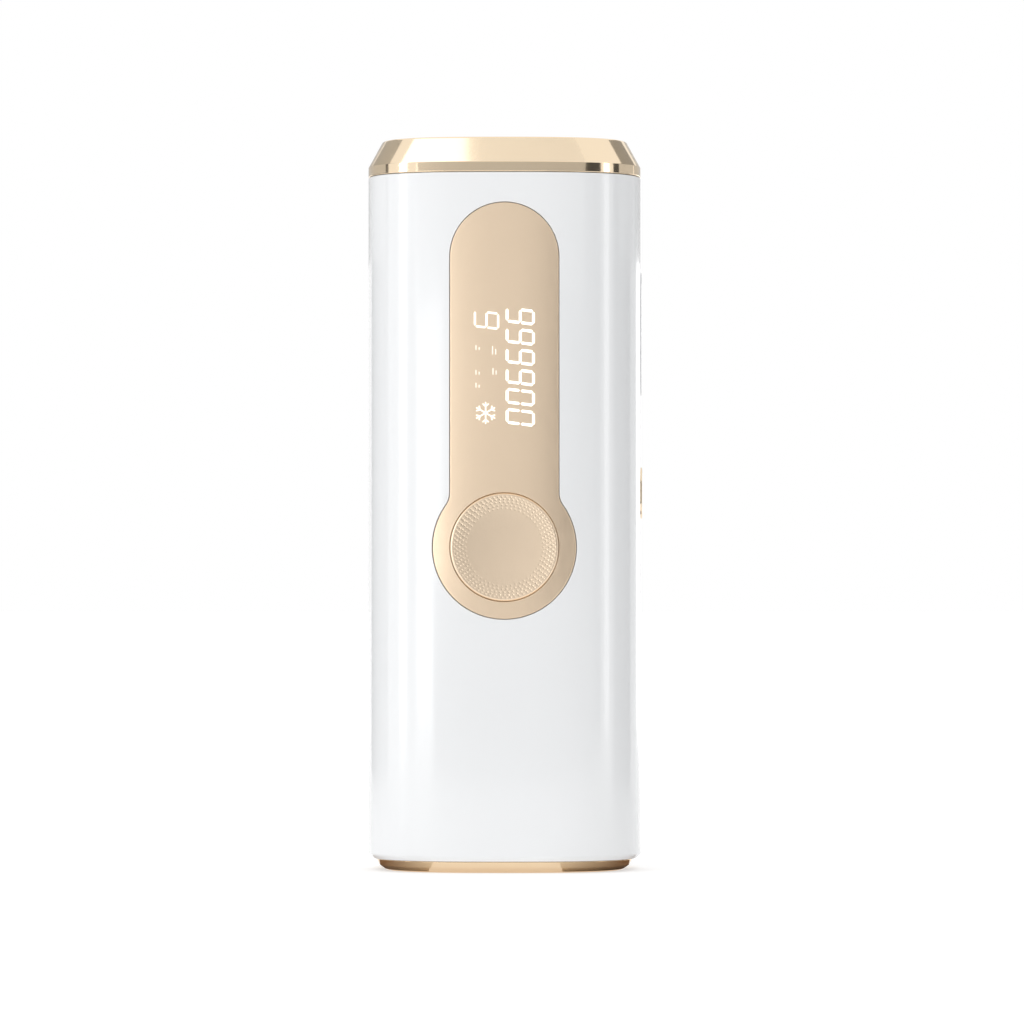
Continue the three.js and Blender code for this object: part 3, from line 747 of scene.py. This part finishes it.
def dimple(radius, angle):
    """How far the pits round the button's edge sink at a point."""
    sunk = 0
    for index, (row, count, share) in enumerate(DIMPLE_ROWS):
        if abs(radius - row) > 3 * DIMPLE_WIDTH:
            continue
        pitch = 2 * math.pi / count
        sideways = (angle / pitch + index * 0.5 + 0.5) % 1 - 0.5
        off = math.hypot(radius - row, sideways * pitch * row)
        sunk += share * DIMPLE_DEPTH * math.exp(-((off / DIMPLE_WIDTH) ** 2))
    return sunk


# Radii of the button's face: few on the plain dish, then close together across the pits.
PLAIN_RADII = [0.6, 2, 4, 6, 7.6]
PITTED_RADII = [8.2 + 0.09 * i for i in range(38)]
# The button's lip, side, flange and back, as (radius, depth behind the face).
BUTTON_BACK = [
    (11.75, 0.02),
    (11.98, 0.1),
    (BUTTON_RADIUS, 0.25),
    (BUTTON_RADIUS, 2.3),
    (13.1, 2.3),
    (13.1, 3.2),
    (2, 3.2),
]


def dish_depth(radius):
    return DISH * (1 - min(1, radius / (BUTTON_RADIUS - RIM)) ** 2)


def build_button():
    turns = angles(720)
    face = [[(r, dish_depth(r) + dimple(r, a), a) for a in turns] for r in PLAIN_RADII + PITTED_RADII]
    behind = [[(r, depth, a) for a in turns] for r, depth in BUTTON_BACK]
    placed = []
    for loop in face + behind:
        line = []
        for radius, depth, a in loop:
            x, z = radius * math.cos(a), radius * math.sin(a)
            line.append((x, BUTTON_RIM_Y + depth, DIAL_Z + z))
        placed.append(line)
    stands_for(smooth(loops_solid("thumb_button", placed)), "power_button")


# Seven-segment strokes in a cell one unit wide and two high: (x, y, x, y).
STROKES = {
    "a": (0, 2, 1, 2),
    "b": (1, 1, 1, 2),
    "c": (1, 0, 1, 1),
    "d": (0, 0, 1, 0),
    "e": (0, 0, 0, 1),
    "f": (0, 1, 0, 2),
    "g": (0, 1, 1, 1),
}
DIGITS = {"0": "abcdef", "6": "acdefg"}
PROUD = 0.02
SLANT = 0.12


def stroke(start, end, width):
    """A straight stroke with pointed ends, as six points."""
    (x0, y0), (x1, y1) = start, end
    length = math.hypot(x1 - x0, y1 - y0)
    along = Vector(((x1 - x0) / length, (y1 - y0) / length))
    across = Vector((-along.y, along.x)) * (width / 2)
    first, last = Vector(start) + along * 0.1, Vector(end) - along * 0.1
    inset = along * (width / 2)
    left = [first + inset + across, last - inset + across]
    right = [last - inset - across, first + inset - across]
    return [(p.x, p.y) for p in (first, *left, last, *right)]


def digit(character, left, bottom, width, height, thickness):
    """A digit's strokes. The digit's own up is the frame's -X, and it reads towards +Z."""
    shapes = []
    for name in DIGITS[character]:
        ends = []
        for u, v in (STROKES[name][:2], STROKES[name][2:]):
            across = u * width + v * height / 2 * SLANT
            ends.append((left - v * height / 2, bottom + across))
        shapes.append(stroke(*ends, thickness))
    return shapes


def snowflake(x, z, radius, thickness):
    shapes = []
    for i in range(6):
        a = math.radians(60 * i + 30)
        tip = (x + radius * math.cos(a), z + radius * math.sin(a))
        shapes.append(stroke((x, z), tip, thickness))
        for turn in (-0.8, 0.8):
            root = (x + 0.55 * radius * math.cos(a), z + 0.55 * radius * math.sin(a))
            twig = 0.42 * radius
            end = (root[0] + twig * math.cos(a + turn), root[1] + twig * math.sin(a + turn))
            shapes.append(stroke(root, end, thickness))
    return shapes


def inlay(name, shapes, material):
    """Flat shapes set in the panel's face, standing a hair proud of it."""
    points, faces = [], []
    for shape in shapes:
        base = len(points)
        count = len(shape)
        points += [on_front(x, z, -PROUD) for x, z in shape]
        points += [on_front(x, z, 0.15) for x, z in shape]
        faces.append(tuple(base + i for i in range(count)))
        faces.append(tuple(base + count + i for i in reversed(range(count))))
        for i in range(count):
            k = (i + 1) % count
            faces.append((base + i, base + k, base + count + k, base + count + i))
    piece = make_object(name, points, faces)
    piece.data.materials.append(material)
    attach(piece, "housing")
    return piece


# Small faint marks beside the digits: the middle (x, z) and half length of each pair of ticks.
TICKS = (
    (-2.3, 117.0, 1.1),
    (-2.2, 112.3, 0.9),
    (-6.0, 117.6, 0.7),
    (-6.0, 112.1, 0.7),
    (-6.0, 109.2, 0.7),
)


def build_display():
    bright = lit_symbol("lit_white", (1.0, 0.94, 0.83), 0.95)
    dim = lit_symbol("lit_dim", (1.0, 0.92, 0.8), 0.6)
    faint = lit_symbol("lit_faint", (0.98, 0.9, 0.78), 0.3)
    counter = []
    for i, character in enumerate("006666"):
        counter += digit(character, 6.5, 100.2 + 4.53 * i, 2.9, 5.9, 0.62)
    inlay("display_counter", counter, bright)
    inlay("display_level", digit("6", -1.4, 121.8, 3.4, 5.2, 0.5), dim)
    inlay("display_snowflake", snowflake(-4.2, 103.0, 2.6, 0.3), dim)
    ticks = []
    for x, z, half in TICKS:
        ticks.append(stroke((x - 0.35, z - half), (x - 0.35, z + half), 0.24))
        ticks.append(stroke((x + 0.35, z - half), (x + 0.35, z + half * 0.4), 0.24))
    inlay("display_ticks", ticks, faint)


# ---- Side keys ----
SIDE_HOLE_GAP = {"trigger_button": 0.1, "mode_button": 0.9}
FLANGE = 0.9


def side_outline(node):
    """The outline that a side key's CAD cap is cut to, before its running gap."""
    low, high = box_mm(node)
    half_width = (high.y - low.y) / 2 - FLANGE
    half_length = (high.z - low.z) / 2 - FLANGE
    return slot_outline((0, (low.z + high.z) / 2), half_width, half_length)


def proud_slab(name, node, thickness):
    """A piece of a slightly larger oval, to be cut to a key's outline."""
    low, high = box_mm(node)
    proud = high.x - HALF_X
    bottom, top = low.z - 3, high.z + 3
    steps = 40
    loops = []
    for i in range(steps + 1):
        y = -8 + 16 * i / steps
        outer, inner = reach_x(y) + proud, reach_x(y) - thickness
        loops.append([(outer, y, bottom), (outer, y, top), (inner, y, top), (inner, y, bottom)])
    return loops_solid(name, loops)


def build_side_keys():
    for node in ("trigger_button", "mode_button"):
        outline = side_outline(node)
        proud = box_mm(node)[1].x - HALF_X
        key = proud_slab(f"{node}_cap", node, 3)
        cut(key, sunk_tool(outline, on_side, plug_steps(-0.1, 5, proud, ease=0.3)), "INTERSECT")
        stands_for(smooth(key), node)
    node = "mode_button"
    trim = proud_slab("mode_key_trim", "mode_button_trim", 1.6)
    outline = side_outline(node)
    proud = box_mm("mode_button_trim")[1].x - HALF_X
    cut(trim, sunk_tool(outline, on_side, plug_steps(0.8, 5, proud, ease=0.25)), "INTERSECT")
    inner = [(0.2, OUTSIDE), (0.2, -proud - 0.004), (0.1, 0.1 - proud), (0.05, 0.25 - proud), (0.05, 5)]
    cut(trim, sunk_tool(outline, on_side, inner))
    stands_for(smooth(trim), "mode_button_trim")


# ---- Treatment head: plate, contact ring and window ----
WINDOW_LOW, WINDOW_HIGH = box_mm("sapphire_window")
WINDOW_CORNER = 1.2


def window_point(angle, margin):
    """A point of the window's rounded rectangle, grown by margin, in the direction of angle."""
    half_x, half_y = WINDOW_HIGH.x + margin, WINDOW_HIGH.y + margin
    radius = WINDOW_CORNER + 0.9 * margin
    c, s = abs(math.cos(angle)), abs(math.sin(angle))
    length = min(half_x / max(c, 1e-9), half_y / max(s, 1e-9))
    corner_x, corner_y = half_x - radius, half_y - radius
    if length * c > corner_x and length * s > corner_y:
        along = corner_x * c + corner_y * s
        off = corner_x**2 + corner_y**2 - radius**2
        length = along + math.sqrt(along**2 - off)
    return length * math.cos(angle), length * math.sin(angle)


def angles(steps=OVAL_STEPS):
    return [2 * math.pi * i / steps for i in range(steps)]


def window_plug(name, profile):
    """A solid block through [margin, z] levels of the window's outline."""
    return loops_solid(name, [[(*window_point(a, margin), z) for a in angles()] for margin, z in profile])


def window_ring(name, profile):
    """A ring round the window, from a closed [margin, z] profile."""
    loops = [[(*window_point(a, margin), z) for margin, z in profile] for a in angles()]
    return loops_solid(name, loops, ring=True)


PLATE_INSET = 6.55
PLATE_BOTTOM = 162.7
PLATE_MARGIN = 2


def head_plate(top):
    """The black plate between the bezel's opening and the contact ring."""
    outer = [(0, PLATE_BOTTOM), (0, top - 0.3), (0.1, top - 0.08), (0.3, top)]
    inner = [(0.2, top), (0.05, top - 0.08), (0, top - 0.25), (0, PLATE_BOTTOM)]
    loops = []
    for a in angles():
        outside = [(*oval_point(a, PLATE_INSET + ease), z) for ease, z in outer]
        inside = [(*window_point(a, PLATE_MARGIN + ease), z) for ease, z in inner]
        loops.append(outside + inside)
    return loops_solid("black_head_plate", loops, ring=True)


def build_head():
    top = box_mm("head_plate")[1].z
    stands_for(smooth(head_plate(top)), "head_plate")

    low, high = box_mm("contact_ring")
    outer = [(1.9, low.z), (1.9, high.z - 0.4), (1.78, high.z - 0.12), (1.5, high.z)]
    inner = [(0.55, high.z), (0.28, high.z - 0.1), (0.2, high.z - 0.3), (0.2, low.z)]
    stands_for(smooth(window_ring("skin_contact_ring", outer + inner)), "contact_ring")

    bottom, top = WINDOW_LOW.z, WINDOW_HIGH.z
    profile = [(0, bottom), (0, top - 0.3), (-0.09, top - 0.09), (-0.3, top)]
    stands_for(smooth(window_plug("clear_window", profile)), "sapphire_window")


# ---- Base cover, its screws and the inlet ----
def turned(name, profile, x=0, y=0, steps=64):
    """A solid turned about an upright axis, through [radius, z] levels."""
    circle = [(math.cos(a), math.sin(a)) for a in angles(steps)]
    return loops_solid(name, [[(x + r * u, y + r * v, z) for u, v in circle] for r, z in profile])


def block(name, low, high):
    (x0, y0, z0), (x1, y1, z1) = low, high
    return loops_solid(name, [[(x0, y0, z), (x1, y0, z), (x1, y1, z), (x0, y1, z)] for z in (z0, z1)])


def upright_slot(x, y, half_width, half_length, z0, z1):
    outline = slot_outline((x, y), half_width, half_length, steps=12)(0)
    return loops_solid("tool", [[(u, v, z) for u, v in outline] for z in (z0, z1)])


INLET_HOLE = 4.2
INLET_BORE = 3.2
INLET_ROOF = 14
PIN_HOLE = 1.1
PIN_RADIUS = 1
SCREW_HEAD = 2.4
SCREW_BORE = 2.7
SCREW_SEAT = 2.1
SHANK = 1.1
SHANK_HOLE = 1.3
RECESS = {"half_length": 1.3, "half_width": 0.3, "depth_to": 1.4}
INTAKE = {"count": 4, "first": 9, "pitch": 3.2, "y": 3.2, "half_width": 0.8, "half_length": 5.5}


def screw_places():
    for node in ("base_screw_1", "base_screw_2"):
        low, high = box_mm(node)
        yield node, (low.x + high.x) / 2, (low.y + high.y) / 2, low.z, high.z


def build_base():
    low, high = box_mm("base_cover")
    profile = [(6.5, low.z), (6.3, low.z + 0.2), (6.3, 2.3), (4, 2.3), (4, high.z)]
    loops = [[(*oval_point(a, inset), z) for a in angles()] for inset, z in profile]
    cover = loops_solid("base_plate", loops)
    rim = [(INLET_HOLE + 0.3, -1), (INLET_HOLE + 0.3, low.z), (INLET_HOLE, low.z + 0.3), (INLET_HOLE, 6)]
    cut(cover, turned("tool", rim, steps=96))
    for _, x, y, _, _ in screw_places():
        mouth = [(SCREW_BORE + 0.15, -1), (SCREW_BORE + 0.15, low.z), (SCREW_BORE, low.z + 0.15)]
        bore = [(SCREW_BORE, SCREW_SEAT), (SHANK_HOLE, SCREW_SEAT), (SHANK_HOLE, 6)]
        cut(cover, turned("tool", mouth + bore, x, y))
    for side in (-1, 1):
        for i in range(INTAKE["count"]):
            x = side * (INTAKE["first"] + INTAKE["pitch"] * i)
            slot = upright_slot(x, INTAKE["y"], INTAKE["half_width"], INTAKE["half_length"], -1, 6)
            cut(cover, slot)
    stands_for(smooth(cover), "base_cover")

    for node, x, y, bottom, top in screw_places():
        head = SCREW_HEAD
        crown = [(head - 0.5, bottom), (head - 0.15, bottom + 0.12), (head, bottom + 0.45)]
        shank = [(head, SCREW_SEAT), (SHANK, SCREW_SEAT), (SHANK, top - 1), (0.3, top)]
        screw = turned(f"{node}_turned", crown + shank, x, y)
        long, thin, end = RECESS["half_length"], RECESS["half_width"], RECESS["depth_to"]
        for half_x, half_y in ((long, thin), (thin, long)):
            cut(screw, block("tool", (x - half_x, y - half_y, 0), (x + half_x, y + half_y, end)))
        stands_for(smooth(screw), node)

    low, high = box_mm("dc_jack")
    jack = block("inlet_socket", low, high)
    mouth = [(INLET_BORE + 0.3, 0), (INLET_BORE + 0.3, low.z), (INLET_BORE, low.z + 0.3)]
    cut(jack, turned("tool", [*mouth, (INLET_BORE, INLET_ROOF)], steps=96))
    cut(jack, turned("tool", [(PIN_HOLE, 0), (PIN_HOLE, 20)]))
    stands_for(smooth(jack), "dc_jack")
    low, high = box_mm("dc_jack_pin")
    tip = [(0.35, low.z), (0.75, low.z + 0.12), (0.95, low.z + 0.4)]
    pin = turned("inlet_pin", [*tip, (PIN_RADIUS, low.z + 0.8), (PIN_RADIUS, high.z)])
    stands_for(smooth(pin), "dc_jack_pin")


make_camera()
make_stage()
dress_cad_nodes()
build_housing()
build_bezel_and_foot()
build_panel()
build_button()
build_display()
build_side_keys()
build_head()
build_base()
